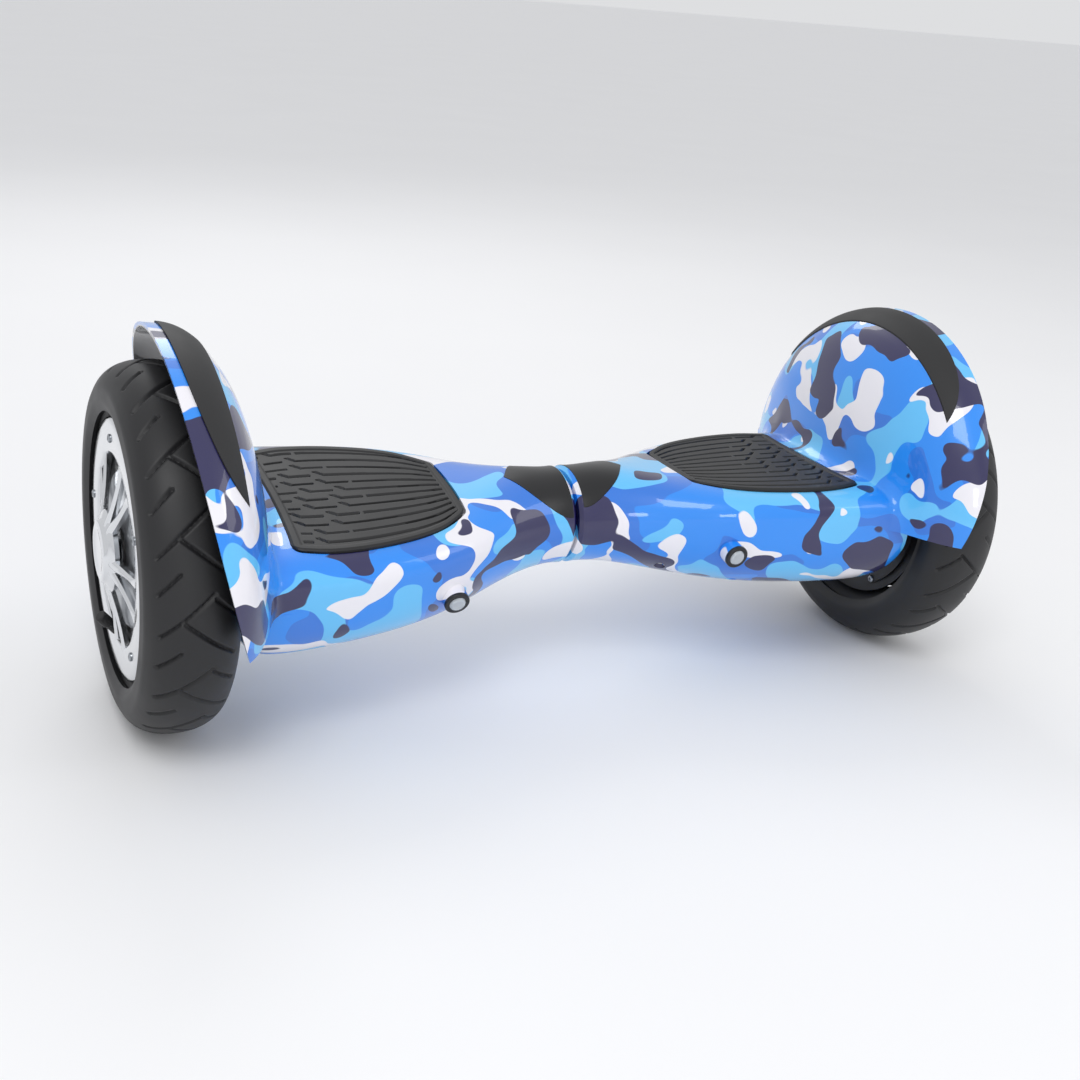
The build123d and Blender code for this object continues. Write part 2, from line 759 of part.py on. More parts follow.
with BuildPart() as axle:
    add(disc(saddle_start - 1, track_half + outer_bearing + bearing_width + 1, axle_radius))
    chamfer(axle.faces().sort_by(Axis.X)[-1].edges(), 1.0)
save_pair("axle", axle.part)


def tyre_ring(half_width, half_height):
    """A squared oval ring round the wheel."""
    middle = tyre_radius - section_height / 2
    steps = 32
    points = []
    for step in range(steps):
        angle = radians(360 * step / steps)
        power = 2 / tyre_squareness
        out = abs(cos(angle)) ** power * half_width
        up = abs(sin(angle)) ** power * half_height
        points.append((out if cos(angle) > 0 else -out, middle + (up if sin(angle) > 0 else -up)))
    with BuildPart() as turned:
        with BuildSketch(Plane(origin=(track_half, 0, axle_height), x_dir=(1, 0, 0), z_dir=(0, -1, 0))):
            with BuildLine():
                Spline(*points, periodic=True)
            make_face()
        revolve(axis=axle_line)
    return turned.part


tube_allowance = 0.3
with BuildPart() as tyre:
    add(tyre_ring(tyre_half_width, section_height / 2))
    add(tyre_ring(tyre_half_width - tyre_wall, section_height / 2 - tyre_wall), mode=Mode.SUBTRACT)
    inside = motor_bore
    lip = rim_lip_radius + part_gap
    add(at_wheel(-rim_lip_half - part_gap, -bead_half + part_gap, lip, inside), mode=Mode.SUBTRACT)
    add(at_wheel(bead_half - part_gap, rim_lip_half + part_gap, lip, inside), mode=Mode.SUBTRACT)
    add(at_wheel(-bead_half, bead_half, bead_radius + part_gap, inside), mode=Mode.SUBTRACT)
    add(at_wheel(-well_half, well_half, bead_radius + tyre_wall, inside), mode=Mode.SUBTRACT)
    add(along_valve(-2 * stem_radius, valve_length, stem_radius + stem_clearance), mode=Mode.SUBTRACT)
save_pair("tyre", tyre.part)

with BuildPart() as inner_tube:
    add(tyre_ring(
        tyre_half_width - tyre_wall - tube_allowance,
        section_height / 2 - tyre_wall - tube_allowance,
    ))
    add(along_valve(-2 * stem_radius, valve_length, stem_radius + stem_clearance), mode=Mode.SUBTRACT)
save_pair("inner_tube", inner_tube.part)

with BuildPart() as valve:
    add(along_valve(0, valve_length, stem_radius))
    add(along_valve(valve_length, valve_length + cap_length, cap_radius))
    fillet(valve.faces().sort_by(Axis.X)[-1].edges(), 1.2)
save_pair("valve", valve.part)

# The spoked trim: a flat ring on the rim, arms rising to a raised hub.
window_inner = 34.0
window_outer = 64.0
slot_inner = 42.0
wide_half_angles = (13.0, 23.0)
slot_half_angles = (3.5, 7.0)


def window(inner, outer, half_angles, count, start):
    """Rounded wedge holes round the wheel, from one radius to another."""
    corners = []
    for radius, half in ((inner, half_angles[0]), (outer, half_angles[1])):
        corners.append((radius * cos(radians(half)), radius * sin(radians(half))))
    near, far = corners
    with BuildSketch() as wedge:
        with BuildLine():
            Polyline((near[0], -near[1]), near, far, (far[0], -far[1]), close=True)
        make_face()
        fillet(wedge.vertices(), near[1] * 0.8)
    with BuildPart() as holes:
        with BuildSketch(across(track_half + bead_half)):
            with PolarLocations(0, count, start_angle=start):
                add(wedge.sketch)
        extrude(amount=tyre_half_width)
    return holes.part


with BuildPart() as spoke_cover:
    add(wheel_profile([
        (rim_lip_half, cover_ring_outer), (trim_face - 0.8, cover_ring_outer),
        (trim_face, cover_ring_outer - 1.5), (trim_face, cover_ring_inner),
        (cover_hub_out - 6, cover_hub_radius + 8), (cover_hub_out - 2, cover_hub_radius + 1),
        (cover_hub_out, cover_hub_radius - 4), (cover_hub_out, 0),
        (cover_hub_out - cover_thickness, 0), (cover_hub_out - cover_thickness, cover_hub_radius - 5),
        (cover_hub_out - 9, cover_hub_radius + 5), (rim_lip_half, cover_ring_inner),
    ]))
    add(window(window_inner, window_outer, wide_half_angles, spoke_pairs, 0), mode=Mode.SUBTRACT)
    add(window(slot_inner, window_outer, slot_half_angles, spoke_pairs, 180 / spoke_pairs),
        mode=Mode.SUBTRACT)
    add(along_valve(0, valve_length + cap_length, cap_radius + stem_clearance), mode=Mode.SUBTRACT)
    with BuildSketch(across(track_half + rim_lip_half)):
        with PolarLocations(motor_bore + 3.4, spoke_pairs, start_angle=180 / spoke_pairs):
            Circle(1.6)
    extrude(amount=cover_thickness, mode=Mode.SUBTRACT)
save_pair("spoke_cover", spoke_cover.part)

with BuildPart() as cover_screws:
    for face, step, circle, count, turn in screw_circles:
        with BuildSketch(across(track_half + face)):
            with PolarLocations(circle, count, start_angle=turn):
                Circle(trim_head_radius)
        extrude(amount=step * trim_head_height)
        with BuildSketch(across(track_half + face)):
            with PolarLocations(circle, count, start_angle=turn):
                Circle(trim_screw_radius)
        extrude(amount=-step * trim_grip)
save_pair("cover_screws", cover_screws.part)

# ---------------------------------------------------------------- twist pivot
tube_over = 5.0
clip_thickness = 1.6
clip_depth = 1.2
clip_gap = 0.4
bush_length = 14.0
clip_start = -barrel_end - clip_gap - clip_thickness

with BuildPart() as pivot_tube:
    add(ring(clip_start - tube_over, barrel_end - 2, tube_radius, tube_bore))
    add(ring(clip_start, clip_start + clip_thickness, tube_radius + 1, tube_radius - clip_depth),
        mode=Mode.SUBTRACT)
save("pivot_tube", pivot_tube.part)

with BuildPart() as pivot_clip:
    add(ring(clip_start + running_fit, clip_start + clip_thickness - running_fit,
             tube_radius + 3, tube_radius - clip_depth + running_fit))
    with BuildSketch(across(clip_start)):
        with Locations((0, tube_radius)):
            Rectangle(6, 10)
    extrude(amount=clip_thickness, mode=Mode.SUBTRACT)
save("pivot_clip", pivot_clip.part)

with BuildPart() as pivot_bushes:
    for start in (barrel_start, barrel_end - bush_length):
        add(ring(start, start + bush_length, tube_radius + bush_wall - press_fit, tube_radius + running_fit))
save("pivot_bushes", left_of(pivot_bushes.part))

# ---------------------------------------------------------------- battery and main board
with BuildPart() as battery_pack:
    with BuildSketch(Plane.XY.offset(axle_height + battery_floor)):
        with Locations((169, 0)):
            RectangleRounded(110, 80, 6)
    extrude(amount=41)
    fillet(battery_pack.faces().sort_by(Axis.Z)[-1].edges(), 3)
save("battery_pack", battery_pack.part)

main_board_size = (108.0, 76.0)
with BuildPart() as main_board:
    floor = axle_height + battery_floor
    with BuildSketch(Plane.XY.offset(floor)):
        with Locations((170, 0)):
            Rectangle(*main_board_size)
    extrude(amount=board_thickness)
    with BuildSketch(Plane.XY.offset(floor + board_thickness)):
        with Locations((170, 26)):
            Rectangle(70, 12)
        with Locations((130, -24), (150, -24), (170, -24)):
            Circle(8)
    extrude(amount=20)
    with BuildSketch(Plane.XY.offset(floor + board_thickness)):
        with Locations((160, 4)):
            Rectangle(14, 14)
        with GridLocations(14, 0, 3, 1):
            with Locations((202, -26)):
                Rectangle(10, 8)
        with Locations((130, 6), (205, 6)):
            Rectangle(8, 22)
    extrude(amount=7)
save("main_board", left_of(main_board.part))

# ---------------------------------------------------------------- rear of the left half
port_x = 140.0
port_face = 87.0
button_x = 182.0
button_face = 93.5
rear_height = -17.0
pod_radius = 12.5
pod_back = 24.0
port_body = 8.0
port_socket = 5.6
socket_depth = 9.0
port_floor = 6.0
flange_radius = 11.0
flange_thickness = 1.5
pin_count = 3
pin_circle = 3.2
pin_radius = 0.8
pin_length = 4.5
hinge_rise = 11.5
hinge_out = 4.2
hinge_radius = 1.0
ear_half = 6.5
ear_thickness = 2.5
ear_reach = 2.7
ear_cap = 1.8                 # ear beyond the hinge line
ear_middle = ear_half - ear_thickness / 2
knuckle_radius = 2.2
ear_gap = 0.35
cover_disc = 9.0
cover_gap = 0.35
cover_disc_thickness = 2.0
button_radius = 7.5
button_gap = 0.35
button_travel = 1.2
button_proud = 1.9
button_round = 0.8
switch_radius = 9.5
switch_depth = 14.0
button_depth = 6.0


def rear_plane(x, y):
    """A plane square to the rear, facing backward at a place on the left half as drawn."""
    return Plane(origin=(x, y, axle_height + rear_height), x_dir=(1, 0, 0), z_dir=(0, 1, 0))


def on_rear(x, face, low, high, radius, bore=0.0):
    """A cylinder or a tube pointing backward, measured outward from a face."""
    with BuildPart() as stub:
        with BuildSketch(rear_plane(x, face + low)):
            Circle(radius)
            if bore:
                Circle(bore, mode=Mode.SUBTRACT)
        extrude(amount=high - low)
    return stub.part


rear_bores = {port_x: port_body + part_gap, button_x: switch_radius + part_gap}
lower_left = lower_shell([(port_x, port_face), (button_x, button_face)])
save("lower_shell_l", left_of(lower_left))

hinge_plane = Plane(
    origin=(port_x, port_face + hinge_out, axle_height + rear_height + hinge_rise),
    x_dir=(0, 1, 0),
    z_dir=(1, 0, 0),
)
with BuildPart() as charge_port:
    add(on_rear(port_x, port_face, -socket_depth - port_floor, 0, port_body))
    add(on_rear(port_x, port_face, 0, flange_thickness, flange_radius))
    add(on_rear(port_x, port_face, -socket_depth, flange_thickness, port_socket), mode=Mode.SUBTRACT)
    with BuildSketch(rear_plane(port_x, port_face - socket_depth)):
        with PolarLocations(pin_circle, pin_count, start_angle=90):
            Circle(pin_radius)
    extrude(amount=pin_length)
    with BuildSketch(rear_plane(port_x, port_face)):
        with Locations((-ear_middle, -hinge_rise), (ear_middle, -hinge_rise)):
            Rectangle(ear_thickness, 2 * ear_reach)
    extrude(amount=hinge_out + ear_cap)
    with BuildSketch(hinge_plane):
        Circle(hinge_radius + press_fit)
    extrude(amount=2 * ear_half, both=True, mode=Mode.SUBTRACT)
save("charge_port", left_of(charge_port.part))

with BuildPart() as port_cover_pin:
    with BuildSketch(hinge_plane):
        Circle(hinge_radius)
    extrude(amount=ear_half, both=True)
save("port_cover_pin", left_of(port_cover_pin.part))

with BuildPart() as port_cover:
    low = flange_thickness + cover_gap
    knuckle_half = ear_half - ear_thickness - ear_gap
    add(on_rear(port_x, port_face, low, low + cover_disc_thickness, cover_disc))
    with BuildSketch(rear_plane(port_x, port_face + low)):
        with Locations((0, -hinge_rise / 2)):
            Rectangle(2 * knuckle_half, hinge_rise)
    extrude(amount=cover_disc_thickness)
    with BuildSketch(hinge_plane):
        Circle(knuckle_radius)
    extrude(amount=knuckle_half, both=True)
    with BuildSketch(hinge_plane):
        Circle(hinge_radius + running_fit)
    extrude(amount=ear_half, both=True, mode=Mode.SUBTRACT)
save("port_cover", left_of(port_cover.part))

with BuildPart() as power_switch:
    add(on_rear(button_x, button_face, 0, flange_thickness, flange_radius, button_radius + button_gap))
    add(on_rear(button_x, button_face, -switch_depth, 0, switch_radius, button_radius + button_gap))
    seat = -button_depth - button_travel - button_gap
    add(on_rear(button_x, button_face, -switch_depth, seat, switch_radius))
save("power_switch", left_of(power_switch.part))

with BuildPart() as power_button:
    add(on_rear(button_x, button_face, -button_depth, button_proud, button_radius))
    fillet(power_button.faces().sort_by(Axis.Y)[-1].edges(), button_round)
save("power_button", left_of(power_button.part))
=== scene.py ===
from math import copysign, cos, hypot, pi, radians, sin, sqrt

import bmesh
import bpy
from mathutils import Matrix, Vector


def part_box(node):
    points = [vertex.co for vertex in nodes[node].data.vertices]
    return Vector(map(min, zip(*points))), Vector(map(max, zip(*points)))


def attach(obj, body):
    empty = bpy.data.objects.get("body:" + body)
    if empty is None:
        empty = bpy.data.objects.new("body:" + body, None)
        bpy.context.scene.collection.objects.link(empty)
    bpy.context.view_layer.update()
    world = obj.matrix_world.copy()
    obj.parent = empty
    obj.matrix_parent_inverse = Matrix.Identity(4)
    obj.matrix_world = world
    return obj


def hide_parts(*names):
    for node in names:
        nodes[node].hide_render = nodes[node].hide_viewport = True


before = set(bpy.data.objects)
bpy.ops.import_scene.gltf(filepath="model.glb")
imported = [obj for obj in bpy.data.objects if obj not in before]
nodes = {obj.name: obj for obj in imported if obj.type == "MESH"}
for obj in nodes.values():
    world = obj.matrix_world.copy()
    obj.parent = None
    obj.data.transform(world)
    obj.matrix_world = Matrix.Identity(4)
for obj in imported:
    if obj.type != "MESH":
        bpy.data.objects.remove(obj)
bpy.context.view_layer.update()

mm = 0.001
tyreLow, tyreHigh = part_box("tyre_r")
wheelCentre = (tyreLow + tyreHigh) / 2  # middle of the right wheel, on the axle line
axleHeight = wheelCentre.z

board = {
    "restTwist": 11,      # degrees, left half front down
    "trackHalf": 304.5,   # board centre to the middle of a wheel
}


# small helpers
def linear(hexColour):
    channels = [int(hexColour[i:i + 2], 16) / 255 for i in (1, 3, 5)]
    return [c / 12.92 if c <= 0.04045 else ((c + 0.055) / 1.055) ** 2.4 for c in channels] + [1]


def shaded(hexColour, factor):
    # The same colour lighter or darker.
    return [c * factor for c in linear(hexColour)[:3]] + [1]


def addNode(material, kind, settings=None, inputs=None):
    tree = material.node_tree
    node = tree.nodes.new(kind)
    for name, value in (settings or {}).items():
        setattr(node, name, value)
    for name, value in (inputs or {}).items():
        if isinstance(value, bpy.types.NodeSocket):
            tree.links.new(value, node.inputs[name])
        else:
            node.inputs[name].default_value = value
    return node


def newMaterial(name, **shaderValues):
    material = bpy.data.materials.new(name)
    material.use_nodes = True
    shader = material.node_tree.nodes["Principled BSDF"]
    for socket, value in shaderValues.items():
        shader.inputs[socket.replace("_", " ")].default_value = value
    return material, shader


def link(material, source, target):
    material.node_tree.links.new(source, target)


def objectCoords(material, scale=(1, 1, 1), location=(0, 0, 0)):
    coords = addNode(material, "ShaderNodeTexCoord")
    mapping = addNode(material, "ShaderNodeMapping", inputs={
        "Vector": coords.outputs["Object"], "Scale": scale, "Location": location})
    return mapping.outputs["Vector"]


def place(points, side):
    # Right half points in mm about the axle line, to metres in the frame.
    twist = radians(board["restTwist"])
    placed = []
    for x, y, z in points:
        if side == "l":
            x, y, z = -x, y * cos(twist) - z * sin(twist), y * sin(twist) + z * cos(twist)
        placed.append((x * mm, wheelCentre.y + y * mm, axleHeight + z * mm))
    return placed


def newPiece(name, points, faces, side, smoothAngle=40):
    if side == "l":
        faces = [tuple(reversed(face)) for face in faces]
    mesh = bpy.data.meshes.new(name)
    mesh.from_pydata(place(points, side), [], faces)
    mesh.validate()
    mesh.polygons.foreach_set("use_smooth", [True] * len(mesh.polygons))
    mesh.set_sharp_from_angle(angle=radians(smoothAngle))
    piece = bpy.data.objects.new(name, mesh)
    bpy.context.scene.collection.objects.link(piece)
    return piece


def settle(piece, material, slotName, body, *replaced):
    piece.data.materials.clear()
    piece.data.materials.append(material)
    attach(piece, body)
    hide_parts(*replaced)
    print("made", piece.name, len(piece.data.polygons), "faces")


# shell finish
camo = {
    "base": "#0b8af2", "deep": "#1a74da", "sky": "#5dc0f8", "white": "#eeecf2", "navy": "#120c4c",
    "patchSize": 33,      # mm across a typical patch
    "stretch": 0.8,       # patches are longer across the board
    "swirl": 0.045,       # metres that the patches are pulled about
    "edge": 0.003,        # softness of a patch's edge
    "layers": [           # ink, offset of its patches, size against the others, cut level
        ("deep", (0.31, 0.17, 0.05), 0.9, 0.585),
        ("sky", (1.37, 0.21, 0.83), 0.95, 0.555),
        ("white", (0.42, 2.16, 0.37), 1.25, 0.60),
        ("navy", (2.93, 0.48, 1.71), 1.2, 0.59),
    ],
    "wellShade": "#15131f",    # painted shade inside the fender, a dark colour in place of the camo
}


def camoPaint():
    # Moulded ABS, water-transfer printed and clear lacquered: flat ink patches under a wet gloss.
    material, shader = newMaterial(
        "water printed gloss ABS", Roughness=0.38, IOR=1.5, Coat_Weight=1.0,
        Coat_Roughness=0.045, Coat_IOR=1.5)
    perMetre = 0.9 / (camo["patchSize"] * mm)
    vector = objectCoords(material, (camo["stretch"], 1, 1))
    drift = addNode(material, "ShaderNodeTexNoise", inputs={
        "Vector": vector, "Scale": perMetre * 0.8, "Detail": 1.0})
    centred = addNode(material, "ShaderNodeVectorMath", {"operation": "SUBTRACT"}, {
        0: drift.outputs["Color"], 1: (0.5, 0.5, 0.5)})
    swirled = addNode(material, "ShaderNodeVectorMath", {"operation": "MULTIPLY_ADD"}, {
        0: centred.outputs[0], 1: [camo["swirl"]] * 3, 2: vector})
    colour = None
    for ink, offset, size, level in camo["layers"]:
        moved = addNode(material, "ShaderNodeMapping", inputs={
            "Vector": swirled.outputs[0], "Location": offset})
        patches = addNode(material, "ShaderNodeTexNoise", inputs={
            "Vector": moved.outputs[0], "Scale": perMetre * size, "Detail": 0.4, "Roughness": 0.4})
        inside = addNode(material, "ShaderNodeMapRange", inputs={
            "Value": patches.outputs["Fac"],
            "From Min": level - camo["edge"], "From Max": level + camo["edge"]})
        mix = addNode(material, "ShaderNodeMix", {"data_type": "RGBA"}, {
            "Factor": inside.outputs[0], 6: linear(camo["base"]), 7: linear(camo[ink])})
        if colour:
            link(material, colour, mix.inputs[6])
        colour = mix.outputs[2]
    # Painted shade: the inside of the fender well gets a dark colour in place of the camo.
    link(material, paintedWellShadeMask(material, colour), shader.inputs["Base Color"])
    # Lacquer never lies quite flat: a faint orange peel about 5 mm across.
    peel = addNode(material, "ShaderNodeTexNoise", inputs={
        "Vector": objectCoords(material), "Scale": 200.0, "Detail": 1.0})
    bump = addNode(material, "ShaderNodeBump", inputs={
        "Height": peel.outputs["Fac"], "Strength": 0.05, "Distance": 0.0004})
    link(material, bump.outputs[0], shader.inputs["Coat Normal"])
    return material


well = {
    "bodyEnd": 0.2655, "from": 0.2665, "to": 0.310,   # metres outward of the middle of the board
    # place between from and to, and the fender's inner face in metres from the axle line
    "innerFace": [(0, 0.1227), (0.092, 0.129), (0.172, 0.1334), (0.241, 0.1367), (0.56, 0.146),
                  (1, 0.1493)],
    "curveScale": 5,      # brings those lengths into the curve's range of 0 to 1
}


def paintedWellShadeMask(material, colour):
    # Painted shade on the wheel side of the fender: a dark colour in place of the camo, no further
    # from the axle line than its inner face, and outboard of the body's end wall.
    split = addNode(material, "ShaderNodeSeparateXYZ", inputs={"Vector": objectCoords(material)})
    outward = addNode(material, "ShaderNodeMath", {"operation": "ABSOLUTE"}, {0: split.outputs["X"]})
    up = addNode(material, "ShaderNodeMath", {"operation": "SUBTRACT"}, {
        0: split.outputs["Z"], 1: axleHeight})
    flat = addNode(material, "ShaderNodeCombineXYZ", inputs={
        "X": split.outputs["Y"], "Y": up.outputs[0]})
    reach = addNode(material, "ShaderNodeVectorMath", {"operation": "LENGTH"}, {0: flat.outputs[0]})
    along = addNode(material, "ShaderNodeMapRange", inputs={
        "Value": outward.outputs[0], "From Min": well["from"], "From Max": well["to"]})
    wall = addNode(material, "ShaderNodeFloatCurve", inputs={"Value": along.outputs[0]})
    curve = wall.mapping.curves[0]
    curve.points[0].location = (0, well["innerFace"][0][1] * well["curveScale"])
    curve.points[1].location = (1, well["innerFace"][-1][1] * well["curveScale"])
    for across, inner in well["innerFace"][1:-1]:
        curve.points.new(across, inner * well["curveScale"])
    wall.mapping.update()
    limit = addNode(material, "ShaderNodeMath", {"operation": "MULTIPLY"}, {
        0: wall.outputs[0], 1: 1 / well["curveScale"]})
    inside = addNode(material, "ShaderNodeMath", {"operation": "LESS_THAN"}, {
        0: reach.outputs["Value"], 1: limit.outputs[0]})
    outboard = addNode(material, "ShaderNodeMath", {"operation": "GREATER_THAN"}, {
        0: outward.outputs[0], 1: well["bodyEnd"]})
    both = addNode(material, "ShaderNodeMath", {"operation": "MULTIPLY"}, {
        0: inside.outputs[0], 1: outboard.outputs[0]})
    # the painted shade colour goes over the camo inside the fender well
    mix = addNode(material, "ShaderNodeMix", {"data_type": "RGBA"}, {
        "Factor": both.outputs[0], 6: colour, 7: linear(camo["wellShade"])})
    return mix.outputs[2]


# plain finishes
def mouldedFinish(name, colour, roughness, grain=0.8, depth=0.04, spread=0.08, **shaderValues):
    # Moulded rubber and plastics: a little cloudiness in the tone and a fine texture off the tool.
    material, shader = newMaterial(name, **shaderValues)
    vector = objectCoords(material)
    cloud = addNode(material, "ShaderNodeTexNoise", inputs={
        "Vector": vector, "Scale": 30.0, "Detail": 3.0})
    tone = addNode(material, "ShaderNodeMix", {"data_type": "RGBA"}, {
        "Factor": cloud.outputs["Fac"], 6: linear(colour), 7: shaded(colour, 1.35)})
    link(material, tone.outputs[2], shader.inputs["Base Color"])
    gloss = addNode(material, "ShaderNodeMapRange", inputs={
        "Value": cloud.outputs["Fac"], "To Min": roughness - spread, "To Max": roughness + spread})
    link(material, gloss.outputs[0], shader.inputs["Roughness"])
    texture = addNode(material, "ShaderNodeTexNoise", inputs={
        "Vector": vector, "Scale": 1 / (grain * mm), "Detail": 2.0})
    bump = addNode(material, "ShaderNodeBump", inputs={
        "Height": texture.outputs["Fac"], "Strength": 0.5, "Distance": depth * mm})
    link(material, bump.outputs[0], shader.inputs["Normal"])
    return material


def metalFinish(name, colour, roughness, grain=0.5, direction=(1, 1, 1), depth=0.01, **shaderValues):
    # Metals: full metallic, default IOR; the tool marks run across the long way of direction.
    material, shader = newMaterial(name, Metallic=1.0, **shaderValues)
    vector = objectCoords(material, direction)
    marks = addNode(material, "ShaderNodeTexNoise", inputs={
        "Vector": vector, "Scale": 1 / (grain * mm), "Detail": 2.0})
    cloud = addNode(material, "ShaderNodeTexNoise", inputs={
        "Vector": vector, "Scale": 25.0, "Detail": 2.0})
    tone = addNode(material, "ShaderNodeMix", {"data_type": "RGBA"}, {
        "Factor": cloud.outputs["Fac"], 6: shaded(colour, 0.88), 7: linear(colour)})
    link(material, tone.outputs[2], shader.inputs["Base Color"])
    gloss = addNode(material, "ShaderNodeMapRange", inputs={
        "Value": marks.outputs["Fac"], "To Min": roughness * 0.75, "To Max": roughness * 1.25})
    link(material, gloss.outputs[0], shader.inputs["Roughness"])
    bump = addNode(material, "ShaderNodeBump", inputs={
        "Height": marks.outputs["Fac"], "Strength": 0.4, "Distance": depth * mm})
    link(material, bump.outputs[0], shader.inputs["Normal"])
    return material


capStart = 25.3  # mm outward of the wheel's middle


def valveFinish():
    # Turned brass stem with a black moulded dust cap over its outer end.
    material, shader = newMaterial("brass valve with black cap")
    split = addNode(material, "ShaderNodeSeparateXYZ", inputs={"Vector": objectCoords(material)})
    outward = addNode(material, "ShaderNodeMath", {"operation": "ABSOLUTE"}, {0: split.outputs["X"]})
    capped = addNode(material, "ShaderNodeMath", {"operation": "GREATER_THAN"}, {
        0: outward.outputs[0], 1: wheelCentre.x + capStart * mm})
    turning = addNode(material, "ShaderNodeTexNoise", inputs={
        "Vector": objectCoords(material, (4, 1, 1)), "Scale": 900.0})
    brass = addNode(material, "ShaderNodeMix", {"data_type": "RGBA"}, {
        "Factor": turning.outputs["Fac"], 6: linear("#a87a2c"), 7: linear("#c9a052")})
    tone = addNode(material, "ShaderNodeMix", {"data_type": "RGBA"}, {
        "Factor": capped.outputs[0], 6: brass.outputs[2], 7: linear("#1c1c1d")})
    link(material, tone.outputs[2], shader.inputs["Base Color"])
    metal = addNode(material, "ShaderNodeMath", {"operation": "SUBTRACT"}, {
        0: 1.0, 1: capped.outputs[0]})
    link(material, metal.outputs[0], shader.inputs["Metallic"])
    rough = addNode(material, "ShaderNodeMapRange", inputs={
        "Value": capped.outputs[0], "To Min": 0.3, "To Max": 0.55})
    link(material, rough.outputs[0], shader.inputs["Roughness"])
    return material


shellPaint = camoPaint()
bumperRubber = mouldedFinish("matte moulded rubber", "#1f1f20", 0.62, grain=0.9, depth=0.03)
panelPlastic = mouldedFinish("satin black ABS", "#141416", 0.34, grain=1.2, depth=0.008,
                             spread=0.04)
padRubber = mouldedFinish("moulded grip rubber", "#161617", 0.5, grain=0.7, depth=0.03, spread=0.06)
tyreRubber = mouldedFinish("moulded tyre rubber", "#18181a", 0.5, grain=0.8, depth=0.03, spread=0.1)
rimBlack = mouldedFinish("black powder coated aluminium", "#101012", 0.4, grain=0.6, depth=0.03,
                         spread=0.05)
spokeSilver = metalFinish("chromed ABS", "#e3e5e8", 0.13, grain=6.0, depth=0.02, Coat_Weight=0.4,
                          Coat_Roughness=0.05)
motorSilver = metalFinish("die cast aluminium", "#b9bcc0", 0.36, grain=0.8, depth=0.03)
zincSteel = metalFinish("zinc plated steel", "#a9adb2", 0.3, grain=0.4)
groundSteel = metalFinish("ground steel", "#9a9da2", 0.25, grain=0.3, direction=(0.2, 1, 1))
copperWire = metalFinish("enamelled copper wire", "#b5622d", 0.32, grain=0.6, direction=(1, 1, 3))
nickelCoat = metalFinish("nickel plated magnet", "#b8b6ae", 0.22, grain=0.5)
boardGreen = mouldedFinish("solder masked glass epoxy", "#0e4a26", 0.35, grain=1.0, depth=0.01)
batteryWrap = mouldedFinish("heat shrunk PVC film", "#1c3f8f", 0.3, grain=3.0, depth=0.05)
bushNylon = mouldedFinish("moulded nylon", "#cfcabb", 0.45, grain=0.8, depth=0.02)
buttonSilver = metalFinish("satin chromed button", "#cfd2d6", 0.22, grain=0.6)
valveBrass = valveFinish()
lampLens = mouldedFinish("clear moulded polycarbonate", "#dfe6ee", 0.1, grain=1.5, depth=0.05,
                         spread=0.03, Transmission_Weight=0.55, IOR=1.58, Coat_Weight=1.0,
                         Coat_Roughness=0.03)
print("materials mixed:", len(bpy.data.materials))

finishes = {
    "upper_shell": shellPaint, "lower_shell": shellPaint, "fender_bumper": bumperRubber,
    "centre_panel": panelPlastic, "shell_screws": zincSteel, "frame": motorSilver,
    "axle_clamp": motorSilver, "clamp_screws": zincSteel, "axle": groundSteel,
    "stator": groundSteel, "windings": copperWire, "sensor_board": boardGreen,
    "led_bezel": panelPlastic, "led_lens": lampLens, "rim": rimBlack, "magnets": nickelCoat,
    "hub_cover": rimBlack, "bearings": groundSteel, "inner_tube": tyreRubber,
    "valve": valveBrass, "spoke_cover": spokeSilver, "cover_screws": zincSteel,
    "tyre": tyreRubber, "foot_pad": padRubber, "pivot_tube": groundSteel,
    "pivot_clip": groundSteel, "battery_pack": batteryWrap, "pivot_bushes": bushNylon,
    "main_board": boardGreen, "charge_port": panelPlastic, "port_cover_pin": groundSteel,
    "power_switch": panelPlastic, "port_cover": bumperRubber, "power_button": buttonSilver,
}
for nodeName, nodeObject in nodes.items():
    pieceName = nodeName[:-2] if nodeName[-2:] in ("_r", "_l") else nodeName
    for materialSlot in nodeObject.material_slots:
        materialSlot.material = finishes[pieceName]


# tyres
tread = {
    "pitches": 15,            # repeats of the tread round the tyre
    "radius": 127.0, "middle": 104.0, "halfWidth": 31.0, "height": 23.0, "squareness": 2.24,
    "beadRadius": 84.0, "wall": 4.0,
    "aroundSteps": 60, "acrossSteps": 90, "treadSteps": 70, "treadHalf": 30,
    "innerSteps": 10,         # across the inner wall
    "weld": 0.00004,          # metres
    "grooveWidth": 2.2, "grooveDepth": 1.9, "grooveSlope": 0.75, "grooveReach": 31,
    # ends of one side's grooves, mm across from the crown and round the tyre; the other side is
    # their mirror image, shifted round
    "grooves": [((25, 2), (-10, -26)), ((26, -27), (11, -40))],
    "otherSideShift": 17,
    # raised rings on the sidewall: place across, height, half width at the top and at the foot
    "rings": [(47.5, 0.5, 1.2, 2.4), (37, 0.35, 1.0, 2.4)],
    "skinBack": 0.12,         # keeps the rings inside the tyre's own size
    "arcSpan": 1.28, "arcStart": 0.14,    # sweep of the section past its half turn
}
pitchLength = 2 * pi * tread["radius"] / tread["pitches"]


